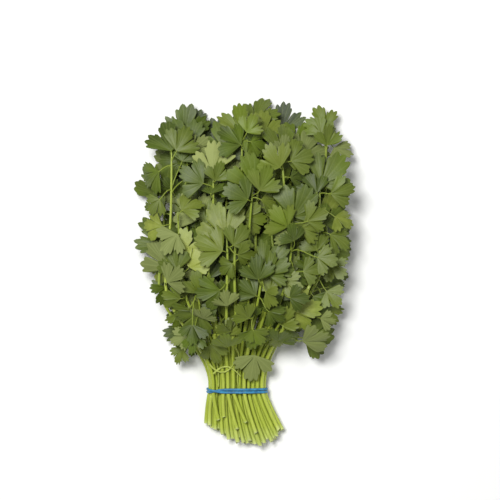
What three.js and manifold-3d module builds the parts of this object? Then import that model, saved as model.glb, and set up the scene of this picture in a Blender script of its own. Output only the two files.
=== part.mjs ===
// A bunch of fresh coriander lying on a surface: leafy stalks, a few short trimmed stalks,
// and the doubled elastic band that holds them.
// Millimetres. +Y runs from the cut ends to the leaf tips, +Z is up, and the surface is z = 0.
import * as THREE from "three";
import { mergeVertices } from "three/addons/utils/BufferGeometryUtils.js";
import Module from "manifold-3d";

const wasm = await Module();
wasm.setup();

// ---- Driving dimensions ----

const TIERS = [11, 12, 13, 12]; // stalks side by side in the band, from the lowest tier up
// The short trimmed stalks on top of the tiers: how far across the band each one is, how far it
// leans by its cut end, and where that end is.
const SHORT_ONES = [
  { across: -19.4, lean: 6.5, low: -23 },
  { across: -11.2, lean: 0.5, low: -21 },
  { across: -7.4, lean: 5, low: -31 },
  { across: -3.2, lean: 7, low: -25 },
  { across: 5.6, lean: 1, low: -34 },
];
const SHORT_LIFT = 4.1; // from the top tier's middle to theirs
const STALK_RADIUS = { cut: 1.75, band: 1.62, tip: 0.85 };
const STALK_THICKNESS = [0.86, 1.02]; // slim and stout stalks, in shares of those radii
const STALK_SIDES = 5;
const PITCH = { across: 3.65, up: 3.2 }; // from stalk to stalk where the band holds them
const BAND = { width: 1.9, thickness: 1.2, gap: 0.35, fit: 0.72, sides: 6, steps: 88 };
const CROSSING = { at: 0.385, hop: 1.65, swiftness: 4 }; // at: share of the way round from the right
const CUT_LENGTH = 42; // from the band to the longest cut ends
const DROOP = 1.2; // how far the cut ends sink below the band's own height
const STRAY = { sideways: 0.9, up: 0.6 }; // how far the top tier's cut ends stray
const FOLIAGE = { left: -61, right: 74, low: 44, high: 218, thickness: 44 }; // where the stalks end
// The outline that the blades keep to: its sides at the foot and further up, its foot at the left
// and at the right, where its end begins to round off, its end and its height.
const HEAD = { left: [-58, -74], right: [77, 93], low: [21, 42], shoulder: 150, high: 236, top: 66 };
const OVERREACH = 3; // and how far their tips may stand out of it
// The outermost stalk at the left of the top tier lies bare: nothing is over it between these
// heights along the bunch. Round shapes this far above it keep the room.
const BARE = { from: 84, to: 174, rises: [4, 9, 14, 19, 24], room: 2.2 };
const TIP_LIFT = 4; // a stalk's tip rises or sinks this far clear of its tier
const UNDERSIDE = 3.4; // height of the lowest tier of stalks in the foliage
const BLADE = { thickness: 0.7, arch: 1.1, footHalf: 0.6, hub: 0.27 };
const CLEARANCE = 0.35;
const SHORTEST_EDGE = 0.02;
const SEED = 12;

// The kinds of leaflet: length of the blade, length of its petiolule, how steeply that leaves the
// stalk, and how far round from the stalk's own direction the blade points.
const KINDS = {
  end: { blade: [25, 31], foot: [1, 2], rise: [0, 10], turn: 0, swing: 14 },
  side: { blade: [19, 25], foot: [4, 11], rise: [20, 65], turn: 64, swing: 14 },
  low: { blade: [17, 21], foot: [5, 13], rise: [25, 70], turn: 74, swing: 25 },
  outer: { blade: [18, 22], foot: [9, 18], rise: [5, 30], turn: 55, swing: 18 },
  corner: { blade: [20, 24], foot: [18, 30], rise: [-5, 20], turn: -28, swing: 14 },
  back: { blade: [17, 21], foot: [4, 9], rise: [45, 75], turn: 150, swing: 25 },
};

// ---- Small mathematics ----

const lerp = (a, b, t) => a + (b - a) * t;
const clamp = (t) => Math.min(1, Math.max(0, t));
const degrees = (angle) => (angle * Math.PI) / 180;

function smoothstep(from, to, value) {
  const t = clamp((value - from) / (to - from));
  return t * t * (3 - 2 * t);
}

// A seeded row of even draws from 0 to 1.
function seededDraw(seed) {
  let state = seed >>> 0;
  return () => {
    state = (Math.imul(state, 1664525) + 1013904223) >>> 0;
    return state / 4294967296;
  };
}

const draw = seededDraw(SEED);
const either = (half) => (2 * draw() - 1) * half;
const between = ([low, high]) => lerp(low, high, draw());

// ---- The flow of the bunch ----

const ACROSS = ((Math.max(...TIERS) - 1) / 2) * PITCH.across; // outermost stalk's place in the band
const BUNDLE_HALF = ((TIERS.length - 1) / 2) * PITCH.up;
const BUNDLE_MIDDLE = BAND.thickness + BAND.fit + STALK_THICKNESS[1] * STALK_RADIUS.band + BUNDLE_HALF;
const FOLIAGE_MIDDLE = new THREE.Vector3((FOLIAGE.left + FOLIAGE.right) / 2, 118, 0);
const UP = new THREE.Vector3(0, 0, 1);

// How far a stalk at `across` in the band has moved sideways at the height y along the bunch.
function flowX(across, y) {
  const side = across / ACROSS;
  if (y < 0) {
    const down = -y / CUT_LENGTH;
    return across * (1 + 0.55 * down) + 8.4 * down ** 1.5;
  }
  const gathered = 1 - 0.05 * smoothstep(150, 220, y);
  const wide = FOLIAGE_MIDDLE.x + side * ((FOLIAGE.right - FOLIAGE.left) / 2) * gathered;
  return lerp(across, wide, smoothstep(5, 105 + 18 * side, y));
}

// Height of a tier, from -1 for the lowest to 1 for the highest, over the plan of the bunch:
// flat below, domed above, thinner towards the edges.
function flowZ(level, x, y) {
  const edge = clamp(1 - ((x - FOLIAGE_MIDDLE.x) / 98) ** 2);
  const end = 1 - 0.5 * smoothstep(160, 245, y);
  const half = lerp(6, FOLIAGE.thickness / 2, edge * end);
  const open = smoothstep(4, 85, y);
  const lift = UNDERSIDE + 5 * (1 - edge);
  const held = BUNDLE_MIDDLE - DROOP * smoothstep(2, 26, -y);
  return lerp(held, lift + half, open) + level * lerp(BUNDLE_HALF, half, open);
}

function flowNormal(level, x, y) {
  const step = 2;
  const slopeX = (flowZ(level, x + step, y) - flowZ(level, x - step, y)) / (2 * step);
  const slopeY = (flowZ(level, x, y + step) - flowZ(level, x, y - step)) / (2 * step);
  return new THREE.Vector3(-slopeX, -slopeY, 1).normalize();
}

// ---- Stalks: where each one runs ----

// The cut ends follow an arc round the band, shorter at the left.
function cutEnd(across) {
  const side = across / ACROSS - 0.2;
  return -CUT_LENGTH + (side < 0 ? 12 : 16) * side * side;
}

function radiusAt(y, cutY, tipY) {
  const { cut, band, tip } = STALK_RADIUS;
  return y < 0 ? lerp(band, cut, y / cutY) : lerp(band, tip, y / tipY);
}

function planStalk(tier, column) {
  const across = (column - (TIERS[tier] - 1) / 2) * PITCH.across;
  const level = (2 * tier) / (TIERS.length - 1) - 1;
  const side = across / ACROSS;
  const reach = (column * 0.618 + tier * 0.29) % 1; // spread evenly, then weighted to long stalks
  const high = FOLIAGE.high - 8 * side * side - 6 * Math.abs(level);
  const tipY = lerp(FOLIAGE.low + 10 * Math.abs(side), high, reach ** 0.72) + either(4);
  const cutY = cutEnd(across) + either(2.5);
  const thick = between(STALK_THICKNESS);
  const phase = draw() * 2 * Math.PI;
  const onTop = tier === TIERS.length - 1;
  const stray = onTop ? either(STRAY.sideways) : 0;
  const facing = tier === 0 || (!onTop && (column + tier) % 2 === 0) ? -1 : 1;
  const heights = [cutY, 0, 22, 46, 76, 112, 150, 188].filter((y) => y < tipY - 9);
  heights.push(tipY);
  const points = heights.map((y) => {
    const down = Math.max(0, -y / CUT_LENGTH);
    const sway = 3 * smoothstep(25, 110, y) * Math.sin(y / 31 + phase);
    const x = flowX(across, y) + sway + stray * down;
    const lift = facing * TIP_LIFT * smoothstep(tipY - 45, tipY, y) + (onTop ? STRAY.up * down : 0);
    return new THREE.Vector3(x, y, Math.max(1.3, flowZ(level, x, y) + lift));
  });
  const radii = heights.map((y) => thick * radiusAt(y, cutY, tipY));
  return { tier, level, side, facing, points, radii, leaflets: [] };
}

// A stalk cut off short, lying on the top tier and leaning across it below the band.
function planShortStalk({ across, lean, low }) {
  const heights = [low, 0, 22, 46];
  const points = heights.map((y) => {
    const x = flowX(across, y) + lean * Math.max(0, y / low);
    const lift = SHORT_LIFT + 0.6 * smoothstep(0, 30, y) + STRAY.up * Math.max(0, -y / CUT_LENGTH);
    return new THREE.Vector3(x, y, flowZ(1, x, y) + lift);
  });
  return { points, radii: heights.map((y) => 0.92 * radiusAt(Math.min(y, 0), low, 1)) };
}

// ---- Leaflets: where each one finds room ----

// Half of a leaflet's outline in shares of its length: [angle from the midrib, reach from the base].
const TOOTHED_HALF = [[9, 0.9], [17, 0.97], [28, 0.56], [40, 0.93], [51, 0.8], [63, 0.86], [84, 0.44]];
const PLAIN_HALF = [[14, 0.88], [27, 0.56], [41, 0.92], [64, 0.85], [86, 0.42]];
const HULL_HALF = [[17, 1.0], [41, 0.95], [64, 0.87], [86, 0.44]];

const ATTEMPTS = 120;

const polar = ([angle, reach], length, hand) => [
  length * reach * Math.cos(degrees(angle)),
  hand * length * reach * Math.sin(degrees(angle)),
];

// The whole outline, from the base round by the right to the tip and back by the left.
function outlineOf(half, length) {
  const right = half.map((point) => polar(point, length, -1)).reverse();
  const left = half.map((point) => polar(point, length, 1));
  const tip = half === HULL_HALF ? [] : [[length, 0]];
  return [...right, ...tip, ...left];
}

// A rounded shape stands for each thing that takes up room: a blade, or a stretch of stalk.
function roundedShape(corners, round, flat) {
  const box = new THREE.Box3().setFromPoints(corners);
  const edges = corners.map((corner, i) => corners[(i + 1) % corners.length].clone().sub(corner));
  if (!flat) return { corners, round, box, edges: edges.slice(0, 1), faces: [] };
  const faces = edges.map((edge) => edge.clone().cross(flat));
  return { corners, round, box, edges, faces: [flat, ...faces] };
}

function spanAlong(direction, corners) {
  const reach = corners.map((corner) => corner.dot(direction));
  return [Math.min(...reach), Math.max(...reach)];
}

// Two shapes stand apart where some direction parts them by more than their roundings.
function standApart(a, b) {
  const room = a.round + b.round + CLEARANCE;
  for (const axis of ["x", "y", "z"]) {
    if (a.box.min[axis] - b.box.max[axis] > room || b.box.min[axis] - a.box.max[axis] > room) return true;
  }
  const crossed = a.edges.flatMap((e) => b.edges.map((f) => e.clone().cross(f)));
  return [...a.faces, ...b.faces, ...crossed].some((direction) => {
    const length = direction.length();
    if (length < 1e-6) return false;
    const [lowA, highA] = spanAlong(direction, a.corners);
    const [lowB, highB] = spanAlong(direction, b.corners);
    return Math.max(lowA - highB, lowB - highA) > room * length;
  });
}

// A blade's own frame: its midrib's direction, its left side and its upper face.
function bladeFrame(heading, normal, pitch, roll) {
  const along = heading.clone().addScaledVector(normal, -heading.dot(normal)).normalize();
  const left = normal.clone().cross(along);
  along.applyAxisAngle(left, -pitch);
  left.applyAxisAngle(along, roll);
  return { along, left, up: along.clone().cross(left) };
}

function onBlade({ base, along, left, up }, x, y, z) {
  return base.clone().addScaledVector(along, x).addScaledVector(left, y).addScaledVector(up, z);
}

// The blade's room: its hull, rounded by as much as it arches.
function bladeShape(frame, length, round) {
  const corners = [[0, 0], ...outlineOf(HULL_HALF, length)].map(([x, y]) => onBlade(frame, x, y, 0));
  return roundedShape(corners, round, frame.up);
}

// True for a point inside the head of leaves, or no more than the overreach beyond it.
function inHead({ x, y, z }) {
  const left = lerp(...HEAD.left, smoothstep(50, 150, y));
  const right = lerp(...HEAD.right, smoothstep(15, 120, y));
  const low = lerp(...HEAD.low, smoothstep(-20, 60, x));
  const across = (x - (left + right) / 2) / ((right - left) / 2 + OVERREACH);
  const end = Math.max(0, (y - HEAD.shoulder) / (HEAD.high - HEAD.shoulder + OVERREACH));
  const inside = Math.abs(across) ** 3.2 + end ** 3.2 < 1;
  return inside && y > low - OVERREACH && z < HEAD.top + OVERREACH;
}

// Tries a leaflet this way and that until it stands clear of all that is there.
function placeLeaflet(stalk, kind, y, hand, taken) {
  const { blade, foot, rise, turn, swing } = KINDS[kind];
  const whole = between(blade);
  const { root, tangent } = spotAt(stalk, y);
  const outward = root.clone().sub(FOLIAGE_MIDDLE).setZ(0);
  const pull = Math.min(1.5, outward.length() / 60);
  outward.normalize();
  const normal = flowNormal(stalk.level, root.x, root.y);
  const others = taken.filter((other) => other.stalk !== stalk);
  const siblings = taken.filter((other) => other.stalk === stalk && other.blade);
  for (let attempt = 0; attempt < ATTEMPTS; attempt++) {
    const loose = attempt / ATTEMPTS;
    const heading = tangent.clone().setZ(0).normalize().addScaledVector(outward, pull);
    heading.applyAxisAngle(UP, degrees(turn * hand + either(swing + 40 * loose))).normalize();
    const pitch = degrees(either(17 + 24 * loose));
    const roll = degrees(either(19 + 26 * loose));
    const stand = between(foot) * (1 + 0.5 * loose);
    const climb = degrees(between(rise)) * stalk.facing;
    const length = whole * (1 - 0.3 * loose);
    const resting = stalk.tier === 0 && kind === "end" && attempt < 8;
    const frame = resting ? bladeFrame(heading, UP, 0, 0) : bladeFrame(heading, normal, pitch, roll);
    frame.base = onBlade({ ...frame, base: root }, stand * Math.cos(climb), 0, stand * Math.sin(climb));
    if (resting) frame.base.z = BLADE.thickness / 2;
    const round = BLADE.thickness / 2 + (resting ? 0 : BLADE.arch);
    const shape = bladeShape(frame, length, round);
    const petiolule = roundedShape([root, frame.base], BLADE.footHalf, null);
    if (shape.box.min.z < round - 1e-9) continue;
    if (!inHead(onBlade(frame, length, 0, 0))) continue;
    if (!others.every((other) => standApart(shape, other) && standApart(petiolule, other))) continue;
    if (!siblings.every((other) => standApart(shape, other))) continue;
    taken.push({ ...shape, stalk, blade: true }, { ...petiolule, stalk, blade: false });
    stalk.leaflets.push({ kind, frame, root, length, resting });
    return;
  }
}

// The place on a stalk at the height y along the bunch, and the stalk's direction there.
function spotAt({ points }, y) {
  const next = Math.max(1, points.findIndex((point) => point.y >= y));
  const [before, after] = [points[next - 1], points[next]];
  const root = before.clone().lerp(after, (y - before.y) / (after.y - before.y));
  return { root, tangent: after.clone().sub(before).normalize() };
}

function growBunch(shortStalks) {
  const stalks = TIERS.flatMap((count, tier) =>
    Array.from({ length: count }, (_, column) => planStalk(tier, column)),
  );
  const taken = [...stalks, ...shortStalks].flatMap((stalk) =>
    stalk.points.slice(1).map((point, i) => {
      const round = Math.max(stalk.radii[i], stalk.radii[i + 1]);
      return { ...roundedShape([stalk.points[i], point], round, null), stalk, blade: false };
    }),
  );
  const bare = stalks.find(({ tier }) => tier === 3);
  for (const rise of BARE.rises) {
    const over = [BARE.from, BARE.to].map((y) => spotAt(bare, y).root.addScaledVector(UP, rise));
    taken.push({ ...roundedShape(over, BARE.room, null), stalk: null, blade: false });
  }
  const byTier = [3, 0, 2, 1].flatMap((tier) => stalks.filter((stalk) => stalk.tier === tier));
  const tipOf = (stalk) => stalk.points.at(-1).y;
  for (const stalk of byTier) placeLeaflet(stalk, "end", tipOf(stalk), 0, taken);
  for (const hand of [1, -1]) {
    for (const stalk of byTier) placeLeaflet(stalk, "side", tipOf(stalk) - 9 - 2 * hand, hand, taken);
  }
  for (const [shortest, belowTip, turn] of [[78, [26, 40], 1], [122, [48, 66], -1]]) {
    for (const stalk of byTier) {
      const hand = stalk.points.length % 2 ? turn : -turn;
      if (tipOf(stalk) > shortest) {
        placeLeaflet(stalk, "low", tipOf(stalk) - between(belowTip), hand, taken);
      }
    }
  }
  for (const stalk of byTier.filter(({ side }) => Math.abs(side) > 0.62)) {
    placeLeaflet(stalk, "outer", Math.max(40, tipOf(stalk) - 20), -Math.sign(stalk.side), taken);
    if (stalk.side > 0.66) placeLeaflet(stalk, "corner", 43, -1, taken);
  }
  for (const stalk of stalks.filter(({ tier, side }) => tier === 3 && Math.abs(side) < 0.9)) {
    placeLeaflet(stalk, "back", Math.min(46, tipOf(stalk)) - 2, Math.sign(stalk.side), taken);
  }
  return stalks;
}

// ---- Solids ----

function solidOf(geometry) {
  geometry.deleteAttribute("normal");
  geometry.deleteAttribute("uv");
  const merged = mergeVertices(geometry, 1e-3);
  const vertProperties = merged.attributes.position.array;
  return new wasm.Manifold(
    new wasm.Mesh({ numProp: 3, vertProperties, triVerts: new Uint32Array(merged.index.array) }),
  );
}

function geometryOf(solid) {
  const { numProp, vertProperties, triVerts } = solid.getMesh();
  const geometry = new THREE.BufferGeometry();
  geometry.setAttribute("position", new THREE.BufferAttribute(Float32Array.from(vertProperties), numProp));
  geometry.setIndex(new THREE.BufferAttribute(Uint32Array.from(triVerts), 1));
  geometry.computeVertexNormals();
  return geometry;
}

// A many-sided rod, tapered and bent through its points.
function rod(points, radii, sides) {
  const geometry = new THREE.CylinderGeometry(1, 1, 1, sides, points.length - 1);
  const { position } = geometry.attributes;
  for (let i = 0; i < position.count; i++) {
    const ring = Math.round((position.getY(i) + 0.5) * (points.length - 1));
    const before = points[Math.max(ring - 1, 0)];
    const after = points[Math.min(ring + 1, points.length - 1)];
    const along = after.clone().sub(before).normalize();
    const right = along.clone().cross(UP).normalize();
    const over = along.clone().cross(right);
    const place = points[ring]
      .clone()
      .addScaledVector(over, position.getX(i) * radii[ring])
      .addScaledVector(right, position.getZ(i) * radii[ring]);
    position.setXYZ(i, place.x, place.y, place.z);
  }
  return solidOf(geometry);
}

// A leaflet: a thin lobed plate, its hub raised and its lobes drooping, with its foot in the stalk.
// The hub is near enough to the base that the whole outline can be seen from it.
function leaflet({ kind, frame, root, length, resting }) {
  const { thickness, footHalf } = BLADE;
  const outline = outlineOf(kind === "end" ? TOOTHED_HALF : PLAIN_HALF, length);
  const arch = resting ? 0 : BLADE.arch;
  const bent = ([x, y]) => [x, y, arch * (1 - 2 * clamp((x * x + y * y) / (length * length)))];
  const toRoot = root.clone().sub(frame.base);
  const foot = (y) => [toRoot.dot(frame.along), toRoot.dot(frame.left) + y, toRoot.dot(frame.up)];
  const neck = (y) => [0.2, 1.2 * y, 0];
  const rim = [foot(-footHalf), neck(-footHalf), ...outline.map(bent), neck(footHalf), foot(footHalf)];
  const geometry = new THREE.CylinderGeometry(1, 1, thickness, rim.length, 1);
  const { position } = geometry.attributes;
  for (let i = 0; i < position.count; i++) {
    const onRim = Math.hypot(position.getX(i), position.getZ(i)) > 0.5;
    const angle = Math.atan2(position.getX(i), position.getZ(i));
    const step = (Math.round((angle / (2 * Math.PI)) * rim.length) + rim.length) % rim.length;
    const [x, y, z] = onRim ? rim[step] : bent([BLADE.hub * length, 0]);
    const place = onBlade(frame, x, y, z + position.getY(i));
    position.setXYZ(i, place.x, place.y, place.z);
  }
  return solidOf(geometry);
}

// A stalk and its leaflets as one body. Edges too short to matter are closed up after the join.
function leafyStalk(stalk) {
  const pieces = [rod(stalk.points, stalk.radii, STALK_SIDES), ...stalk.leaflets.map(leaflet)];
  return wasm.Manifold.union(pieces).asOriginal().simplify(SHORTEST_EDGE);
}

// The line that the band follows round the stalks that it holds: their hull, a little way out.
function wayRound(held) {
  const circles = held.map(({ points, radii }) => {
    const at = points.findIndex(({ y }) => y === 0);
    return { x: points[at].x, z: points[at].z, radius: radii[at] + BAND.fit + BAND.thickness / 2 };
  });
  const outline = Array.from({ length: 181 }, (_, i) => {
    const [x, z] = [Math.cos(degrees(2 * i)), Math.sin(degrees(2 * i))];
    const reach = (circle) => circle.x * x + circle.z * z + circle.radius;
    const outer = circles.reduce((best, circle) => (reach(circle) > reach(best) ? circle : best));
    return new THREE.Vector2(outer.x + x * outer.radius, outer.z + z * outer.radius);
  });
  return new THREE.Path(outline);
}

// The band is one loop that goes twice round. Its two strands lie side by side, and on top one
// hops over the other.
function elasticBand(held) {
  const way = wayRound(held);
  const apart = (BAND.width + BAND.gap) / 2;
  const positions = [];
  const index = [];
  for (let step = 0; step < BAND.steps; step++) {
    const turn = (2 * step) / BAND.steps;
    const place = way.getPointAt(turn % 1);
    const ahead = way.getPointAt((turn + 0.004) % 1).sub(way.getPointAt((turn + 0.996) % 1)).normalize();
    const swap = Math.PI * (turn - CROSSING.at);
    const sway = (Math.PI / 2) * Math.max(-1, Math.min(1, CROSSING.swiftness * Math.sin(swap)));
    const hop = Math.cos(swap) > 0 ? CROSSING.hop * Math.cos(sway) : 0;
    for (let corner = 0; corner < BAND.sides; corner++) {
      const angle = (2 * Math.PI * corner) / BAND.sides;
      const out = hop + (BAND.thickness / 2) * Math.cos(angle);
      const y = apart * Math.sin(sway) + (BAND.width / 2) * Math.sin(angle);
      positions.push(place.x + out * ahead.y, y, place.y - out * ahead.x);
      const [here, next] = [corner, (corner + 1) % BAND.sides].map((side) => step * BAND.sides + side);
      const [onHere, onNext] = [here, next].map((i) => (i + BAND.sides) % (BAND.steps * BAND.sides));
      index.push(here, next, onNext, here, onNext, onHere);
    }
  }
  const geometry = new THREE.BufferGeometry();
  geometry.setAttribute("position", new THREE.Float32BufferAttribute(positions, 3));
  geometry.setIndex(index);
  geometry.computeVertexNormals();
  return geometry;
}

// ---- The bunch ----

const bunch = new THREE.Group();
const stalkGreen = new THREE.MeshStandardMaterial({ color: 0x7f9a3c, roughness: 0.55, metalness: 0 });
const cutGreen = new THREE.MeshStandardMaterial({ color: 0xa9bf5c, roughness: 0.5, metalness: 0 });
const rubberBlue = new THREE.MeshStandardMaterial({ color: 0x2f8fbd, roughness: 0.6, metalness: 0 });

function addPiece(name, geometry, material) {
  const mesh = new THREE.Mesh(geometry, material);
  mesh.name = name;
  bunch.add(mesh);
}

const shortStalks = SHORT_ONES.map(planShortStalk);
const stalks = growBunch(shortStalks);
stalks.forEach((stalk, i) => {
  addPiece(`leafy_stalk_${String(i + 1).padStart(2, "0")}`, geometryOf(leafyStalk(stalk)), stalkGreen);
});
shortStalks.forEach(({ points, radii }, i) => {
  addPiece(`short_stalk_${i + 1}`, geometryOf(rod(points, radii, STALK_SIDES)), cutGreen);
});
addPiece("elastic_band", elasticBand([...stalks, ...shortStalks]), rubberBlue);

// The origin is on the surface, under the middle of the whole bunch.
const middle = new THREE.Box3().setFromObject(bunch, true).getCenter(new THREE.Vector3());
bunch.position.set(-middle.x, -middle.y, 0);

export default bunch;
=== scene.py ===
"""A bunch of fresh coriander lying on a pale surface, its stalks held by a doubled elastic band."""
import math
import bmesh
import bpy
import numpy as np
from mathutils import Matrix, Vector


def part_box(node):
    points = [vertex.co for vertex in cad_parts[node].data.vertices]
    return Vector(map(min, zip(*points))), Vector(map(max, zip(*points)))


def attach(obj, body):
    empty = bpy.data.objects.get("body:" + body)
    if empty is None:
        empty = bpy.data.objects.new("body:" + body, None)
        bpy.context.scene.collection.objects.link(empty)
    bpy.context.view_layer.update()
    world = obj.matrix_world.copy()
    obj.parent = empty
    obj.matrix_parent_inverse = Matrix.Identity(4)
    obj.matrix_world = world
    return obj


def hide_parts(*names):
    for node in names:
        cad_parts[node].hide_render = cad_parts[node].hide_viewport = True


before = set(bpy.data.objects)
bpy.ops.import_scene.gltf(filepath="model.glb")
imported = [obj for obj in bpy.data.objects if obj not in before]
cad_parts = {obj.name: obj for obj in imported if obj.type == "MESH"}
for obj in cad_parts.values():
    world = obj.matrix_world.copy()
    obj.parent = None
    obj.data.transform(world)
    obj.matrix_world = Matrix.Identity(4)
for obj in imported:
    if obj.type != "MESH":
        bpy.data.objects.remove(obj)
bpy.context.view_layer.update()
bpy.ops.object.select_all(action="DESELECT")


# ---- Stalks ----
# A coriander stalk is a juicy ribbed stem, about 3 mm across at its foot and half that at its tip.
# The stalks are gathered in four layers under the band and cut with a knife. They fan out below
# the band, and open above it into a flat head.

# Lengths are in millimetres from the middle of the band, with +Y towards the leaf tips. The spans
# given to smoothstep are heights along the bunch.
TIERS = (11, 12, 13, 12)  # stalks side by side, from the lowest layer up
RADIUS = {"cut": 1.75, "band": 1.62, "tip": 0.85}
STOUTNESS = (0.86, 1.02)  # slim and stout stalks, in shares of those radii
PITCH_ACROSS = 3.65  # from stalk to stalk where the band holds them
PITCH_UP = 3.2
BAND = {"width": 1.9, "thickness": 1.2, "gap": 0.35, "fit": 0.72}
CUT_LENGTH = 42  # from the band to the longest cut ends
FAN = {"widening": 0.55, "to_right": 8.4}  # how the cut ends spread below the band
DROOP = 1.2  # how far they sink
STRAY = {"sideways": 0.9, "up": 0.6}  # how far those of the top layer stray
FOLIAGE = {"left": -61, "right": 74, "low": 44, "high": 218, "thickness": 44}
GATHERED = 0.05  # how much the stalks draw together again towards their tips
SWAY = {"half": 3, "pace": 31}
DOME_HALF = 98  # half the width over which the head is domed
EDGE_HALF = 6  # half its thickness at the edges
TIP_LIFT = 4  # a tip rises or sinks this far clear of its layer
UNDERSIDE = 3.4  # height of the lowest layer in the foliage
LOWEST_LINE = 1.3  # no stalk's middle lies lower than this
STATIONS = (0, 22, 46, 76, 112, 150, 188)  # where its line is read for the room it takes
LAST_STRETCH = 9
SEED = 12

ACROSS = (max(TIERS) - 1) / 2 * PITCH_ACROSS
BUNDLE_HALF = (len(TIERS) - 1) / 2 * PITCH_UP
BUNDLE_MIDDLE = BAND["thickness"] + BAND["fit"] + STOUTNESS[1] * RADIUS["band"] + BUNDLE_HALF
FOLIAGE_MIDDLE = np.array([(FOLIAGE["left"] + FOLIAGE["right"]) / 2, 118.0, 0.0])
UP = np.array([0.0, 0.0, 1.0])


def lerp(a, b, t):
    return a + (b - a) * t


def smoothstep(low, high, value):
    t = min(1, max(0, (value - low) / (high - low)))
    return t * t * (3 - 2 * t)


def even_draws(seed):
    """A seeded row of even draws from 0 to 1."""
    while True:
        seed = (seed * 1664525 + 1013904223) % 2**32
        yield seed / 2**32


draws = even_draws(SEED)


def either(half):
    return (2 * next(draws) - 1) * half


def between(span):
    return lerp(span[0], span[1], next(draws))


def unit(vector):
    length = math.sqrt(vector @ vector)
    return vector / length if length else vector


def flow_x(across, y):
    """How far a stalk has moved sideways at the height y along the bunch."""
    side = across / ACROSS
    if y < 0:
        down = -y / CUT_LENGTH
        return across * (1 + FAN["widening"] * down) + FAN["to_right"] * down**1.5
    gathered = 1 - GATHERED * smoothstep(150, 220, y)
    half = (FOLIAGE["right"] - FOLIAGE["left"]) / 2
    wide = FOLIAGE_MIDDLE[0] + side * half * gathered
    return lerp(across, wide, smoothstep(5, 105 + 18 * side, y))


def flow_z(level, x, y):
    """Height of a layer, from -1 for the lowest to 1 for the highest."""
    edge = min(1, max(0, 1 - ((x - FOLIAGE_MIDDLE[0]) / DOME_HALF) ** 2))
    end = 1 - 0.5 * smoothstep(160, 245, y)
    half = lerp(EDGE_HALF, FOLIAGE["thickness"] / 2, edge * end)
    opened = smoothstep(4, 85, y)
    lift = UNDERSIDE + 5 * (1 - edge)
    held = BUNDLE_MIDDLE - DROOP * smoothstep(2, 26, -y)
    return lerp(held, lift + half, opened) + level * lerp(BUNDLE_HALF, half, opened)


def flow_normal(level, x, y):
    step = 2
    slope_x = (flow_z(level, x + step, y) - flow_z(level, x - step, y)) / (2 * step)
    slope_y = (flow_z(level, x, y + step) - flow_z(level, x, y - step)) / (2 * step)
    return unit(np.array([-slope_x, -slope_y, 1.0]))


def cut_end(across):
    """Where the knife has cut a stalk: shorter towards both sides."""
    side = across / ACROSS - 0.2
    return -CUT_LENGTH + (12 if side < 0 else 16) * side * side


def radius_at(y, cut_y, tip_y):
    if y < 0:
        return lerp(RADIUS["band"], RADIUS["cut"], y / cut_y)
    return lerp(RADIUS["band"], RADIUS["tip"], y / tip_y)


def plan_stalk(tier, column):
    """The line and thickness of one stalk. Long and short ones are spread evenly by reach."""
    across = (column - (TIERS[tier] - 1) / 2) * PITCH_ACROSS
    level = 2 * tier / (len(TIERS) - 1) - 1
    side = across / ACROSS
    reach = (column * 0.618 + tier * 0.29) % 1
    high = FOLIAGE["high"] - 8 * side * side - 6 * abs(level)
    tip_y = lerp(FOLIAGE["low"] + 10 * abs(side), high, reach**0.72) + either(4)
    cut_y = cut_end(across) + either(2.5)
    thick = between(STOUTNESS)
    phase = next(draws) * 2 * math.pi
    on_top = tier == len(TIERS) - 1
    stray = either(STRAY["sideways"]) if on_top else 0
    downward = tier == 0 or (tier < len(TIERS) - 1 and (column + tier) % 2 == 0)
    facing = -1 if downward else 1
    heights = [y for y in (cut_y, *STATIONS) if y < tip_y - LAST_STRETCH] + [tip_y]

    def course(y):
        down = max(0, -y / CUT_LENGTH)
        sway = SWAY["half"] * smoothstep(25, 110, y) * math.sin(y / SWAY["pace"] + phase)
        x = flow_x(across, y) + sway + stray * down
        lift = facing * TIP_LIFT * smoothstep(tip_y - 45, tip_y, y)
        lift += STRAY["up"] * down if on_top else 0
        return np.array([x, y, max(LOWEST_LINE, flow_z(level, x, y) + lift)])

    return {"tier": tier, "level": level, "side": side, "facing": facing, "thick": thick,
            "tip_y": tip_y, "course": course, "points": np.array([course(y) for y in heights]),
            "radii": [thick * radius_at(y, cut_y, tip_y) for y in heights], "leaflets": []}


stalks = [plan_stalk(tier, column) for tier, count in enumerate(TIERS) for column in range(count)]
bare = [stalk for stalk in stalks if stalk["tier"] == 3][0]

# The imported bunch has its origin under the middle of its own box. The band's box gives the step
# from there to the middle of the band.
MM = 0.001
SHIFT = np.append(np.mean(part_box("elastic_band"), 0)[:2] / MM, 0)


def to_part(points):
    """Millimetres from the band's middle to metres from the part's origin."""
    return (points + SHIFT) * MM


def linear(hex_colour):
    """An sRGB hex colour as the linear colour that shaders take."""
    channels = [int(hex_colour[i:i + 2], 16) / 255 for i in (1, 3, 5)]
    curve = [c / 12.92 if c <= 0.04045 else ((c + 0.055) / 1.055) ** 2.4 for c in channels]
    return (*curve, 1)


def add_node(tree, kind, links=None, **settings):
    """Adds a shader node with its settings. An input takes a value, or the socket linked to it."""
    node = tree.nodes.new("ShaderNode" + kind)
    for name, value in settings.items():
        setattr(node, name, value)
    for name, value in (links or {}).items():
        if isinstance(value, bpy.types.NodeSocket):
            tree.links.new(value, node.inputs[name])
        else:
            node.inputs[name].default_value = value
    return node


def new_material(name, **finish):
    """A material with one Principled shader, whose plain sockets are set from the finish."""
    material = bpy.data.materials.new(name)
    material.use_nodes = True
    shader = material.node_tree.nodes["Principled BSDF"]
    for socket, value in finish.items():
        shader.inputs[socket.replace("_", " ")].default_value = value
    return material, material.node_tree, shader


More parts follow.
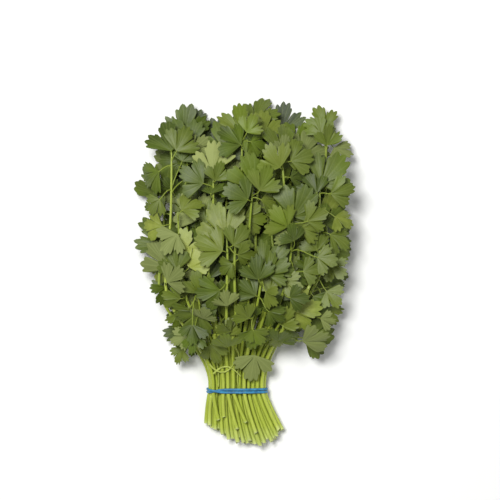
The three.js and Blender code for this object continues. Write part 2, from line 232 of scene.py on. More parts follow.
# Stalk skin: juicy, faintly shining and finely ribbed. It is pale where it is cut and yellow-green
# towards the band. Up among the leaves it turns a darker green, partly its own colour and partly painted
# shade, and the bare stalk on top keeps a paler yellow-green as painted light. It has darker streaks 1.5
# mm wide.
stalk_skin, tree, shader = new_material("stalk_skin", Roughness=0.36, IOR=1.42, Subsurface_Weight=0.05,
                                        Subsurface_Radius=(0.8, 1.0, 0.3), Subsurface_Scale=0.0015)
place = add_node(tree, "TexCoord")
tone_and_shading = add_node(tree, "Attribute", attribute_name="tone_and_shading")
up_stalk_and_shade = add_node(tree, "Attribute", attribute_name="up_stalk_and_shade")
streaks_place = add_node(tree, "Mapping", {
    "Vector": place.outputs["Object"], "Scale": (1 / 0.0015, 1 / 0.03, 1 / 0.0015)})
streaks = add_node(tree, "TexNoise", {
    "Vector": streaks_place.outputs["Vector"], "Scale": 1.0, "Detail": 3.0, "Roughness": 0.6})
height = add_node(tree, "ValToRGB", {"Fac": up_stalk_and_shade.outputs["Fac"]})
stops = height.color_ramp.elements
stops[0].position, stops[0].color = 0.0, linear("#e6ecae")
stops[1].position, stops[1].color = 1.0, linear("#75882f")
for position, hex_colour in ((0.012, "#d3df86"), (0.05, "#bccb4e"), (0.2, "#b6c547"),
                             (0.34, "#abbb45"), (0.6, "#8ba03b")):
    stops.new(position).color = linear(hex_colour)
# Each stalk's tone mixes in a fresher yellow-green; the bare stalk takes all of it, as painted light.
fresher = add_node(tree, "Mix", {
    "Factor": tone_and_shading.outputs["Fac"], 6: linear("#98a830"), 7: linear("#dde67c")}, data_type="RGBA")
tinted = add_node(tree, "Mix", {
    "Factor": 0.28, 6: height.outputs["Color"], 7: fresher.outputs[2]}, data_type="RGBA")
streaked = add_node(tree, "MapRange", {
    "Value": streaks.outputs["Fac"], "From Min": 0.3, "From Max": 0.75, "To Min": 0.55, "To Max": 0.0})
darker = add_node(tree, "Mix", {
    "Factor": streaked.outputs["Result"], 6: tinted.outputs[2], 7: linear("#8a9a2a")}, data_type="RGBA")
tree.links.new(darker.outputs[2], shader.inputs["Base Color"])
flat_skin = add_node(tree, "UVMap", uv_map="UVMap")
around = add_node(tree, "SeparateXYZ", {"Vector": flat_skin.outputs["UV"]})
STALK_RIBS = 13  # for each turn of the skin
ribs = add_node(tree, "Math", {0: around.outputs["X"], 1: 2 * math.pi * STALK_RIBS}, operation="MULTIPLY")
wave = add_node(tree, "Math", {0: ribs.outputs["Value"]}, operation="COSINE")
bump = add_node(tree, "Bump", {
    "Height": wave.outputs["Value"], "Strength": 0.5, "Distance": 0.00012})
tree.links.new(bump.outputs["Normal"], shader.inputs["Normal"])

STALK_SIDES = 12
STALK_RINGS = 44


def select_none():
    bpy.ops.object.select_all(action="DESELECT")


def edit_mesh(thing):
    """Opens a mesh for editing with nothing selected."""
    select_none()
    thing.select_set(True)
    bpy.context.view_layer.objects.active = thing
    bpy.ops.object.mode_set(mode="EDIT")
    bpy.ops.mesh.select_all(action="DESELECT")


def select_where(thing, kind, wanted):
    """Selects the edges or faces of an open mesh that suit the test."""
    mesh = bmesh.from_edit_mesh(thing.data)
    for part in getattr(mesh, kind):
        if wanted(part):
            part.select_set(True)
    bmesh.update_edit_mesh(thing.data)


def make_rod(name, sides, rings):
    """A rod of length 1 and radius 1 from z = 0 up, cut across its length into rings."""
    select_none()
    bpy.ops.mesh.primitive_cylinder_add(vertices=sides, radius=1, depth=1, location=(0, 0, 0.5))
    rod = bpy.context.object
    rod.name = name
    bpy.ops.object.transform_apply(location=True)
    edit_mesh(rod)
    select_where(rod, "edges", lambda edge: abs(edge.verts[0].co.z - edge.verts[1].co.z) > 0.5)
    bpy.ops.mesh.subdivide(number_cuts=rings - 1)
    bpy.ops.object.mode_set(mode="OBJECT")
    return rod


# The cut end has a narrow rim round a shallow hollow.
stalk_pattern = make_rod("stalk_pattern", STALK_SIDES, STALK_RINGS)
edit_mesh(stalk_pattern)
select_where(stalk_pattern, "faces", lambda face: face.normal.z < -0.9)
bpy.ops.mesh.inset(thickness=0.14)
bpy.ops.mesh.inset(thickness=0.3, depth=-0.0015)
bpy.ops.object.mode_set(mode="OBJECT")
bpy.ops.object.shade_smooth_by_angle(angle=math.radians(50))
stalk_pattern.data.materials.append(stalk_skin)

foot_pattern = make_rod("foot_pattern", 6, 7)
bpy.ops.object.shade_smooth_by_angle(angle=math.radians(70))
foot_pattern.data.materials.append(stalk_skin)


def mesh_points(thing):
    points = np.empty(len(thing.data.vertices) * 3)
    thing.data.vertices.foreach_get("co", points)
    return points.reshape(-1, 3)


def set_points(thing, points):
    thing.data.vertices.foreach_set("co", np.ascontiguousarray(points).ravel())
    thing.data.update()


def set_attribute(thing, name, values):
    """Gives a value to each point of a mesh, for its materials to read."""
    attribute = thing.data.attributes.get(name) or thing.data.attributes.new(name, "FLOAT", "POINT")
    attribute.data.foreach_set("value", np.broadcast_to(values, len(thing.data.vertices)).astype(float))


def copy_of(pattern, name):
    """A copy with a mesh of its own, in the scene."""
    copied = pattern.copy()
    copied.data = pattern.data.copy()
    copied.name = name
    bpy.context.collection.objects.link(copied)
    return copied


def bend_along(pattern_points, place_at, radius_at_share):
    """Carries a rod's points to a line, ring by ring."""
    shares = np.clip(pattern_points[:, 2], 0, 1)
    bent = np.empty_like(pattern_points)
    for share in np.unique(np.round(shares, 6)):
        ring = np.abs(shares - share) < 1e-5
        middle = place_at(share)
        ahead = unit(place_at(min(1, share + 0.01)) - place_at(max(0, share - 0.01)))
        right = unit(np.cross(ahead, UP + 1e-6))
        over = np.cross(right, ahead)
        radius = radius_at_share(share)
        bent[ring] = (middle + radius * pattern_points[ring, :1] * right
                      + radius * pattern_points[ring, 1:2] * over)
    return bent


RIB_DEPTH = (0.035, 0.02)  # four broad ribs, and three that wind: shares of the radius
CUT_SLANT = 0.45
CUT_RAGGED = 0.18
# The bare stalk goes only this share along the stalk colours, so it is painted paler and yellower as
# painted light, while the others get painted shade.
BARE_GREENNESS_AND_SHADE = 0.55


def make_stalk(name, place_at, radius_at_share, seed, greenness_and_shade=1.0):
    """A stalk along its line, with faint ribs and a cut end that isn't quite square."""
    pattern = mesh_points(stalk_pattern)
    turn = np.arctan2(pattern[:, 1], pattern[:, 0])
    uneven = np.random.default_rng(seed)
    ribs = 1 + RIB_DEPTH[0] * np.cos(turn * 4 + uneven.uniform(0, 6))
    ribs = ribs + RIB_DEPTH[1] * np.cos(turn * 3 + 9 * pattern[:, 2])
    shaped = pattern.copy()
    shaped[:, :2] *= ribs[:, None]
    stalk = copy_of(stalk_pattern, name)
    points = bend_along(shaped, place_at, radius_at_share)
    slant = uneven.uniform(-CUT_SLANT, CUT_SLANT, 2)
    ragged = uneven.uniform(-CUT_RAGGED, CUT_RAGGED, len(points))
    at_cut = pattern[:, 2] < 0.01
    start = unit(place_at(0.01) - place_at(0.0))
    lean = pattern[:, 0] * slant[0] + pattern[:, 1] * slant[1] + ragged
    points[at_cut] += (lean[at_cut] * radius_at_share(0))[:, None] * start
    set_points(stalk, to_part(points))
    # Higher up the stalk the colour turns a darker green, partly its own colour and partly painted shade
    # among the leaves.
    height = (points[:, 1] + CUT_LENGTH) / (FOLIAGE["high"] + CUT_LENGTH)
    set_attribute(stalk, "up_stalk_and_shade", np.where(at_cut, 0, np.clip(height * greenness_and_shade, 0.03, 1)))
    set_attribute(stalk, "tone_and_shading", uneven.uniform(0, 0.8) if greenness_and_shade == 1 else 1)
    return stalk


stems = []
for number, stalk in enumerate(stalks):
    low_y, high_y = stalk["points"][0][1], stalk["tip_y"]

    def place_at(share):
        return stalk["course"](lerp(low_y, high_y, share))

    def radius_at_share(share):
        y = lerp(low_y, high_y, share)
        taper = 1 - 0.35 * smoothstep(high_y - 12, high_y, y)
        return stalk["thick"] * radius_at(y, low_y, high_y) * taper

    greenness_and_shade = BARE_GREENNESS_AND_SHADE if stalk is bare else 1.0
    name = f"coriander_stalk_{number + 1:02d}"
    stems.append(make_stalk(name, place_at, radius_at_share, number, greenness_and_shade))


# ---- Short trimmed stalks ----
# A few stalks have lost their tops to the knife. They lie on the top layer and lean across it below
# the band, which holds them down like the rest.

SHORT_ONES = (
    {"across": -19.4, "lean": 6.5, "low": -23},
    {"across": -11.2, "lean": 0.5, "low": -21},
    {"across": -7.4, "lean": 5, "low": -31},
    {"across": -3.2, "lean": 7, "low": -25},
    {"across": 5.6, "lean": 1, "low": -34},
)
SHORT_LIFT = 4.1  # from the top layer's middle to theirs
SHORT_STOUTNESS = 0.92


def plan_short_stalk(across, lean, low):
    """Its line and thickness: it lies on the top layer and leans across it."""

    def course(y):
        x = flow_x(across, y) + lean * max(0, y / low)
        lift = SHORT_LIFT + 0.6 * smoothstep(0, 30, y) + STRAY["up"] * max(0, -y / CUT_LENGTH)
        return np.array([x, y, flow_z(1, x, y) + lift])

    heights = (low, *STATIONS[:3])
    return {"course": course, "points": np.array([course(y) for y in heights]),
            "radii": [SHORT_STOUTNESS * radius_at(min(y, 0), low, 1) for y in heights]}


short_stalks = [plan_short_stalk(**sizes) for sizes in SHORT_ONES]
for number, stalk in enumerate(short_stalks):
    def place_at(share):
        return stalk["course"](lerp(stalk["points"][0][1], stalk["points"][-1][1], share))

    def radius_at_share(share):
        return lerp(stalk["radii"][0], stalk["radii"][-1], share)

    piece = make_stalk(f"short_trimmed_stalk_{number + 1}", place_at, radius_at_share, 200 + number)
    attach(piece, "root")
    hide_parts(f"short_stalk_{number + 1}")


# ---- Leaves ----
# A coriander leaflet is a soft thin blade, cut into three lobes with rounded teeth. It stands on a
# slim foot of its own that grew out of the stalk, so that stalk, feet and blades are one piece.
# Each leaflet takes the room that it finds.

# The outline that the blades keep to: its sides at the foot and further up, its foot at the left
# and at the right, where its end begins to round off, its end and its height.
HEAD = {"left": (-58, -74), "right": (77, 93), "low": (21, 42), "shoulder": 150, "high": 236, "top": 66}
# The outermost stalk at the left of the top layer lies bare: nothing is over it between these
# heights along the bunch. Round shapes this far above it keep the room.
BARE = {"from_to": (84, 174), "rises": (4, 9, 14, 19, 24), "room": 2.2}
STURDY = {"thickness": 0.7, "arch": 1.1, "foot": 0.6, "clearance": 0.35, "attempts": 120, "spare": 3}
# Length of the blade and of its foot, how steeply that leaves the stalk, and how far round from the
# stalk's own direction the blade points, in degrees.
KINDS = {
    "end": {"blade": (25, 31), "foot": (1, 2), "rise": (0, 10), "turn": 0, "swing": 14},
    "side": {"blade": (19, 25), "foot": (4, 11), "rise": (20, 65), "turn": 64, "swing": 14},
    "low": {"blade": (17, 21), "foot": (5, 13), "rise": (25, 70), "turn": 74, "swing": 25},
    "outer": {"blade": (18, 22), "foot": (9, 18), "rise": (5, 30), "turn": 55, "swing": 18},
    "corner": {"blade": (20, 24), "foot": (18, 30), "rise": (-5, 20), "turn": -28, "swing": 14},
    "back": {"blade": (17, 21), "foot": (4, 9), "rise": (45, 75), "turn": 150, "swing": 25},
}
HULL_HALF = ((17, 1.0), (41, 0.95), (64, 0.87), (86, 0.44))  # a blade's reach at angles
TILT = {"pitch": 17, "roll": 19}
LOOSER = {"swing": 40, "pitch": 24, "roll": 26, "foot": 0.5, "shorter": 0.3}
RESTING_TRIES = 8


def turned(vector, axis, angle):
    c, s = math.cos(angle), math.sin(angle)
    return vector * c + np.cross(axis, vector) * s + axis * (axis @ vector) * (1 - c)


def hull_outline(length):
    half = [(math.radians(angle), length * reach) for angle, reach in HULL_HALF]
    left = [(r * math.cos(angle), r * math.sin(angle)) for angle, r in half]
    return [(x, -y) for x, y in reversed(left)] + left


class Room:
    """A rounded shape that stands for a blade or a stretch of stalk while room is looked for."""

    def __init__(self, corners, rounding, flat, stalk):
        self.corners = np.array(corners)
        self.round = rounding
        self.stalk = stalk
        self.blade = flat is not None
        self.low = self.corners.min(0)
        self.high = self.corners.max(0)
        self.middle = (self.low + self.high) / 2
        edges = np.roll(self.corners, -1, 0) - self.corners
        self.edges = edges if self.blade else edges[:1]
        self.faces = np.vstack([flat, np.cross(edges, flat)]) if self.blade else np.empty((0, 3))

    def stands_apart(self, other, clearance):
        """True where some direction parts the two by more than their roundings."""
        crossed = np.cross(self.edges[:, None], other.edges[None]).reshape(-1, 3)
        directions = np.vstack([self.faces, other.faces, crossed])
        lengths = np.sqrt((directions**2).sum(1))
        directions = directions[lengths >= 1e-6]
        lengths = lengths[lengths >= 1e-6]
        mine = directions @ self.corners.T
        theirs = directions @ other.corners.T
        gap = np.maximum(mine.min(1) - theirs.max(1), theirs.min(1) - mine.max(1))
        return bool((gap > (self.round + other.round + clearance) * lengths).any())


class TakenRoom:
    """All that is placed so far, with a row for each room so that neighbours are quick to find."""

    def __init__(self):
        self.rooms = []
        self.rows = np.empty((0, 9))

    def add(self, room):
        self.rooms.append(room)
        row = [*room.low, *room.high, room.round, room.stalk, room.blade]
        self.rows = np.vstack([self.rows, row])

    def clear_of(self, room, clearance, own_stalk):
        low, high = self.rows[:, :3], self.rows[:, 3:6]
        rounding, owner, is_blade = self.rows[:, 6:].T
        gap = np.maximum(room.low - high, low - room.high).max(1)
        near = gap <= room.round + rounding + clearance
        mine = owner == room.stalk
        near &= (mine & (is_blade > 0)) if own_stalk else ~mine
        near = np.flatnonzero(near)
        middles = (low[near] + high[near]) / 2
        nearest_first = near[np.argsort(((middles - room.middle) ** 2).sum(1))]
        return all(room.stands_apart(self.rooms[i], clearance) for i in nearest_first)


def blade_axes(heading, normal, pitch, roll):
    along = unit(heading - normal * (heading @ normal))
    left = np.cross(normal, along)
    along = turned(along, left, -pitch)
    left = turned(left, along, roll)
    return along, left, np.cross(along, left)


def spot_at(stalk, y):
    points = stalk["points"]
    after = max(1, int(np.argmax(points[:, 1] >= y)))
    low, high = points[after - 1], points[after]
    return low + (high - low) * ((y - low[1]) / (high[1] - low[1])), unit(high - low)


def in_head(point, spare):
    """True for a point inside the head of leaves, or no more than the spare beyond it."""
    left = lerp(HEAD["left"][0], HEAD["left"][1], smoothstep(50, 150, point[1]))
    right = lerp(HEAD["right"][0], HEAD["right"][1], smoothstep(15, 120, point[1]))
    across = (point[0] - (left + right) / 2) / ((right - left) / 2 + spare)
    low = lerp(HEAD["low"][0], HEAD["low"][1], smoothstep(-20, 60, point[0]))
    end = max(0, (point[1] - HEAD["shoulder"]) / (HEAD["high"] - HEAD["shoulder"] + spare))
    inside = abs(across) ** 3.2 + end**3.2 < 1
    return inside and point[1] > low - spare and point[2] < HEAD["top"] + spare


def ways_to_lie(number, stalk, sizes, y, hand, body, may_rest=False):
    """Ways for a leaflet to lie inside the head, from its natural place to looser ones."""
    whole = between(sizes["blade"])
    root, tangent = spot_at(stalk, y)
    outward = (root - FOLIAGE_MIDDLE) * (1, 1, 0)
    pull = min(1.5, math.sqrt(outward @ outward) / 60)
    outward = unit(outward)
    normal = flow_normal(stalk["level"], root[0], root[1])
    for attempt in range(body["attempts"]):
        loose = attempt / body["attempts"]
        swing = either(sizes["swing"] + LOOSER["swing"] * loose)
        heading = unit(tangent * (1, 1, 0)) + outward * pull
        heading = unit(turned(heading, UP, math.radians(sizes["turn"] * hand + swing)))
        pitch = math.radians(either(TILT["pitch"] + LOOSER["pitch"] * loose))
        roll = math.radians(either(TILT["roll"] + LOOSER["roll"] * loose))
        stand = between(sizes["foot"]) * (1 + LOOSER["foot"] * loose)
        climb = math.radians(between(sizes["rise"])) * stalk["facing"]
        length = whole * (1 - LOOSER["shorter"] * loose)
        resting = may_rest and attempt < RESTING_TRIES
        arch = 0 if resting else body["arch"]
        along, left, up = blade_axes(heading, *((UP, 0, 0) if resting else (normal, pitch, roll)))
        base = root + along * (stand * math.cos(climb)) + up * (stand * math.sin(climb))
        if resting:
            base[2] = body["thickness"] / 2
        rounding = body["thickness"] / 2 + arch
        outline = [(0, 0)] + hull_outline(length)
        blade = Room([base + along * x + left * s for x, s in outline], rounding, up, number)
        foot = Room([root, base], body["foot"], None, number)
        if blade.low[2] >= rounding - 1e-9 and in_head(base + along * length, body["spare"]):
            yield blade, foot, {"axes": (along, left, up), "base": base, "root_y": y,
                                "length": length, "resting": resting, "arch": arch}


def place_leaflet(stalk, ways, taken, clearance):
    """Gives a leaflet the first way to lie that is clear of all that is there."""
    for blade, foot, leaflet in ways:
        clear = taken.clear_of(blade, clearance, False) and taken.clear_of(foot, clearance, False)
        if clear and taken.clear_of(blade, clearance, True):
            taken.add(blade)
            taken.add(foot)
            stalk["leaflets"].append(leaflet)
            return blade
    return None


taken = TakenRoom()
for number, stalk in enumerate([*stalks, *short_stalks]):
    for i in range(len(stalk["points"]) - 1):
        stretch = stalk["points"][i:i + 2]
        taken.add(Room(stretch, max(stalk["radii"][i], stalk["radii"][i + 1]), None, number))


def keep_clear_over_bare(rooms, low_y, high_y):
    """Fills the room over the bare stalk between two heights along the bunch."""
    for rise in BARE["rises"]:
        over = [spot_at(bare, y)[0] + rise * UP for y in (low_y, high_y)]
        rooms.add(Room(over, BARE["room"], None, -1))


keep_clear_over_bare(taken, *BARE["from_to"])


def grow(number, stalk, kind, y, hand, may_rest=False):
    ways = ways_to_lie(number, stalk, KINDS[kind], y, hand, STURDY, may_rest)
    place_leaflet(stalk, ways, taken, STURDY["clearance"])


# The sturdy leaflets grow at the ends of the stalks first, then on down and out.
layers = [(n, s) for tier in (3, 0, 2, 1) for n, s in enumerate(stalks) if s["tier"] == tier]
for number, stalk in layers:
    grow(number, stalk, "end", stalk["tip_y"], 0, stalk["tier"] == 0)
for hand in (1, -1):
    for number, stalk in layers:
        grow(number, stalk, "side", stalk["tip_y"] - 9 - 2 * hand, hand)
for shortest, below_tip, turn in ((78, (26, 40), 1), (122, (48, 66), -1)):
    for number, stalk in layers:
        hand = turn if len(stalk["points"]) % 2 else -turn
        if stalk["tip_y"] > shortest:
            grow(number, stalk, "low", stalk["tip_y"] - between(below_tip), hand)
for number, stalk in layers:
    if abs(stalk["side"]) > 0.62:
        spot_y = max(40, stalk["tip_y"] - 20)
        grow(number, stalk, "outer", spot_y, -1 if stalk["side"] > 0 else 1)
    if stalk["side"] > 0.66:
        grow(number, stalk, "corner", 43, -1)
for number, stalk in enumerate(stalks):
    if stalk["tier"] == 3 and abs(stalk["side"]) < 0.9:
        hand = (stalk["side"] > 0) - (stalk["side"] < 0)
        grow(number, stalk, "back", min(46, stalk["tip_y"]) - 2, hand)

# Thinner leaflets then fill the gaps between the sturdy ones, because a real head holds more of them
# than the solids do. Each turns to where it covers the most open ground, as for light.
SLIGHT = {"thickness": 0.3, "arch": 0.45, "foot": 0.4, "clearance": 0.05, "attempts": 50, "spare": -1.5}
SLIGHT_KINDS = {
    "upper": {"blade": (15, 22), "foot": (3, 14), "rise": (-20, 70), "turn": 50, "swing": 45},
    "lower": {"blade": (15, 22), "foot": (5, 22), "rise": (-20, 80), "turn": 80, "swing": 60},
    "edge": {"blade": (16, 21), "foot": (12, 30), "rise": (-10, 40), "turn": 60, "swing": 35},
    "over": {"blade": (16, 24), "foot": (3, 10), "rise": (35, 85), "turn": 35, "swing": 65},
}
# Spots along a stalk: below its tip, or along the bunch for those at the edges.
SLIGHT_SPOTS = ((6, "upper"), (18, "upper"), (30, "lower"), (43, "lower"), (57, "lower"), (72, "lower"),
                (88, "lower"), (106, "lower"), (126, "lower"))
EDGE_SPOTS = (42, 52, 64, 78, 94, 112, 132)
OVER_SPOTS = (20, 34, 50, 68, 88, 110, 134)
BARE_ABOVE = 138  # these leaflets may lie over the bare stalk below this
# The ground is watched in squares of 2 mm. Covering a square helps less for each layer of leaves
# that it has, and a leaflet has to help by the least sum.
GROUND = {"cell": 2, "low": (-84, 14), "cells": (90, 114), "least": 14, "shrunk": 0.76}
LAYER_NEED = np.array([1.0, 0.5, 0.15, 0.0])
LINE_NEED = 1.6  # for a square with a bare stalk of the top layer
STALKS_NEED = 3  # against covering the stalks just above the band
STALKS_SHOW = {"middle": -2, "half": 27, "below": 40}

ground_x, ground_y = (np.arange(count) * GROUND["cell"] + low
                      for count, low in zip(GROUND["cells"], GROUND["low"]))
in_outline = np.array([[in_head((x, y, 0), -3) for y in ground_y] for x in ground_x])
layers_over = np.where(in_outline, 0, 3)
stalks_show = ((np.abs(ground_x[:, None] - STALKS_SHOW["middle"]) < STALKS_SHOW["half"])
               & (ground_y < STALKS_SHOW["below"]))
top_lines = np.zeros_like(in_outline)
for stalk in stalks:
    for y in np.arange(50, (BARE_ABOVE if stalk is bare else stalk["tip_y"] - 8)):
        square = (spot_at(stalk, y)[0][:2] - GROUND["low"]) / GROUND["cell"]
        top_lines[tuple(np.round(square).astype(int))] |= stalk["tier"] == 3


def ground_under(blade):
    """The squares of ground round a blade seen from above, and which of them it covers."""
    low = ((blade.low[:2] - GROUND["low"]) / GROUND["cell"]).astype(int).clip(0)
    high = ((blade.high[:2] - GROUND["low"]) / GROUND["cell"]).astype(int) + 2
    part = np.s_[low[0]:high[0], low[1]:high[1]]
    corners = lerp(blade.corners.mean(0), blade.corners, GROUND["shrunk"])[:, :2]
    ahead = np.roll(corners, -1, 0) - corners
    away_x = ground_x[part[0]][:, None, None] - corners[:, 0]
    away_y = ground_y[part[1]][None, :, None] - corners[:, 1]
    side = ahead[:, 0] * away_y - ahead[:, 1] * away_x
    return part, (side >= 0).all(2) | (side <= 0).all(2)


def on_top(blade):
    return blade.middle[2] > flow_z(1, blade.middle[0], blade.middle[1]) + 1


def need_under(blade):
    """How much a blade helps: by the open ground that it covers, and the top layer's bare stalks."""
    part, covered = ground_under(blade)
    need = LAYER_NEED[np.minimum(layers_over[part], 3)][covered].sum()
    need -= STALKS_NEED * (stalks_show[part] & covered).sum()
    return need + on_top(blade) * LINE_NEED * (top_lines[part] & covered).sum()


def cover_ground(blade):
    part, covered = ground_under(blade)
    layers_over[part] += covered
    if on_top(blade):
        top_lines[part] &= ~covered


crowded = TakenRoom()
for room in taken.rooms:
    if room.stalk >= 0:
        crowded.add(room)
    if room.blade:
        cover_ground(room)
keep_clear_over_bare(crowded, BARE_ABOVE, BARE["from_to"][1])


def fill_gap(number, stalk, kind, y, hand):
    """Gives a thinner leaflet the place where it helps most, or leaves it out."""
    ways = list(ways_to_lie(number, stalk, SLIGHT_KINDS[kind], y, hand, SLIGHT))
    needs = [need_under(blade) for blade, foot, leaflet in ways]
    best = [i for i in np.argsort(needs)[::-1] if needs[i] >= GROUND["least"]]
    placed = place_leaflet(stalk, (ways[i] for i in best), crowded, SLIGHT["clearance"])
    if placed:
        cover_ground(placed)


for spot_y in EDGE_SPOTS:
    for number, stalk in enumerate(stalks):
        if abs(stalk["side"]) > 0.5 and spot_y < stalk["tip_y"]:
            fill_gap(number, stalk, "edge", spot_y, -1 if stalk["side"] > 0 else 1)
for below_tip in OVER_SPOTS:
    for number, stalk in enumerate(stalks):
        spot_y = stalk["tip_y"] - below_tip
        if stalk["tier"] == 3 and spot_y > 50:
            for hand in (1, -1):
                fill_gap(number, stalk, "over", spot_y, hand)
for below_tip, kind in SLIGHT_SPOTS:
    for number, stalk in enumerate(stalks):
        spot_y = stalk["tip_y"] - below_tip
        if spot_y > 34:
            for hand in (1, -1):
                fill_gap(number, stalk, kind, spot_y, hand)

# One leaflet has slipped down over the stalks, underside up.
SLIPPED = {"blade": (22, 23), "foot": (3, 8), "rise": (30, 75), "turn": -50, "swing": 10}
SLIPPED_FROM = {"across": 9, "y": 35}
number = min((n for n, stalk in enumerate(stalks) if stalk["tier"] == 3),
             key=lambda n: abs(stalks[n]["side"] * ACROSS - SLIPPED_FROM["across"]))
ways = ways_to_lie(number, stalks[number], SLIPPED, SLIPPED_FROM["y"], 1,
                   {**SLIGHT, "spare": 24, "attempts": 400})
place_leaflet(stalks[number], ways, crowded, SLIGHT["clearance"])
stalks[number]["leaflets"][-1]["slipped"] = True


BLOTCH_WIDTH = 0.007
FRESH_PATCH_WIDTH = 0.035
QUILTING_WIDTH = 0.0016  # between the finest veins


def leaf_material(name, shades, fresh_colour, vein_colour, vein_share, finish, vein_height):
    """A leaf's skin: its shade varies from leaf to leaf, darker deep in the head as painted shade, and in
    soft blotches, and veins fan out.
    """
    material, tree, shader = new_material(name, **finish)
    place = add_node(tree, "TexCoord")
    tone_and_shading = add_node(tree, "Attribute", attribute_name="tone_and_shading")
    blotches = add_node(tree, "TexNoise", {
        "Vector": place.outputs["Object"], "Scale": 1 / BLOTCH_WIDTH, "Detail": 3.0, "Roughness": 0.55})
    shade = add_node(tree, "Math", {
        0: blotches.outputs["Fac"], 1: 0.22, 2: tone_and_shading.outputs["Fac"]}, operation="MULTIPLY_ADD")
    ramp = add_node(tree, "ValToRGB", {"Fac": shade.outputs["Value"]})
    stops = ramp.color_ramp.elements
    stops[0].position, stops[0].color = 0.2, linear(shades[0])
    stops[1].position, stops[1].color = 1.0, linear(shades[-1])
    for i, hex_colour in enumerate(shades[1:-1]):
        stops.new(0.2 + 1.0 * (i + 1) / (len(shades) - 1)).color = linear(hex_colour)
    vein = add_node(tree, "Attribute", attribute_name="vein")
    line = add_node(tree, "MapRange", {
        "Value": vein.outputs["Fac"], "From Min": 0.004, "From Max": 0.024,
        "To Min": 1.0, "To Max": 0.0}, interpolation_type="SMOOTHSTEP")
    faint = add_node(tree, "Math", {0: line.outputs["Result"], 1: vein_share}, operation="MULTIPLY")
    patches = add_node(tree, "TexNoise", {
        "Vector": place.outputs["Object"], "Scale": 1 / FRESH_PATCH_WIDTH, "Detail": 1.0})
    fresh = add_node(tree, "MapRange", {
        "Value": patches.outputs["Fac"], "From Min": 0.5, "From Max": 0.75, "To Min": 0.0, "To Max": 0.5})
    fresher = add_node(tree, "Mix", {
        "Factor": fresh.outputs["Result"], 6: ramp.outputs["Color"], 7: linear(fresh_colour)},
        data_type="RGBA")
    colour = add_node(tree, "Mix", {
        "Factor": faint.outputs["Value"], 6: fresher.outputs[2], 7: linear(vein_colour)},
        data_type="RGBA")
    tree.links.new(colour.outputs[2], shader.inputs["Base Color"])
    quilting = add_node(tree, "TexNoise", {
        "Vector": place.outputs["Object"], "Scale": 1 / QUILTING_WIDTH, "Detail": 2.0, "Roughness": 0.5})
    relief = add_node(tree, "Math", {
        0: line.outputs["Result"], 1: vein_height, 2: quilting.outputs["Fac"]}, operation="MULTIPLY_ADD")
    bump = add_node(tree, "Bump", {
        "Height": relief.outputs["Value"], "Strength": 0.55, "Distance": 0.00025})
    tree.links.new(bump.outputs["Normal"], shader.inputs["Normal"])
    return material


# Coriander's upper leaf skin: thin, soft and only slightly waxy, so it is mid green with a broad
# weak gloss. Its finest veins are drawn about half a millimetre wide, coarse enough to show.
upper_skin = leaf_material(
    "leaf_upper_skin", ("#283704", "#485811", "#6b7726", "#949e44"), "#6a8212", "#8f9950", 0.13,
    {"Roughness": 0.5, "IOR": 1.42}, -0.22)

# The underside has no wax and more air in it, so it is paler, greyer and dull, with raised veins.
under_skin = leaf_material(
    "leaf_underside", ("#5c6732", "#6d773e", "#7f894b", "#919a58"), "#7b8749", "#9aa464", 0.22,
    {"Roughness": 0.7, "IOR": 1.38}, 0.3)

PATTERNS = 12
LOBE_TEETH = ((4, 4, 4), (3, 5, 4), (4, 5, 3), (3, 4, 4), (4, 5, 4))  # in each of its lobes
TOOTH_COLUMNS = 4
BLADE_ROWS = 7
# These are shares of a leaflet's length.
BLADE_THICKNESS = 0.016
SLITS = {"outer": 0.42, "inner": (0.36, 0.62), "rounding": 0.15}
NOTCHES = (0.08, 0.17)
TEETH_FROM = 0.66
LOBE_SPILL = 0.055  # how far the lobes widen over one another
LOBE_FOLD = 0.015
TOOTH_FOLD = 0.002
CURL = 0.065
LOBE_OVERLAP = 0.012  # how far the middle lobe lies over the others


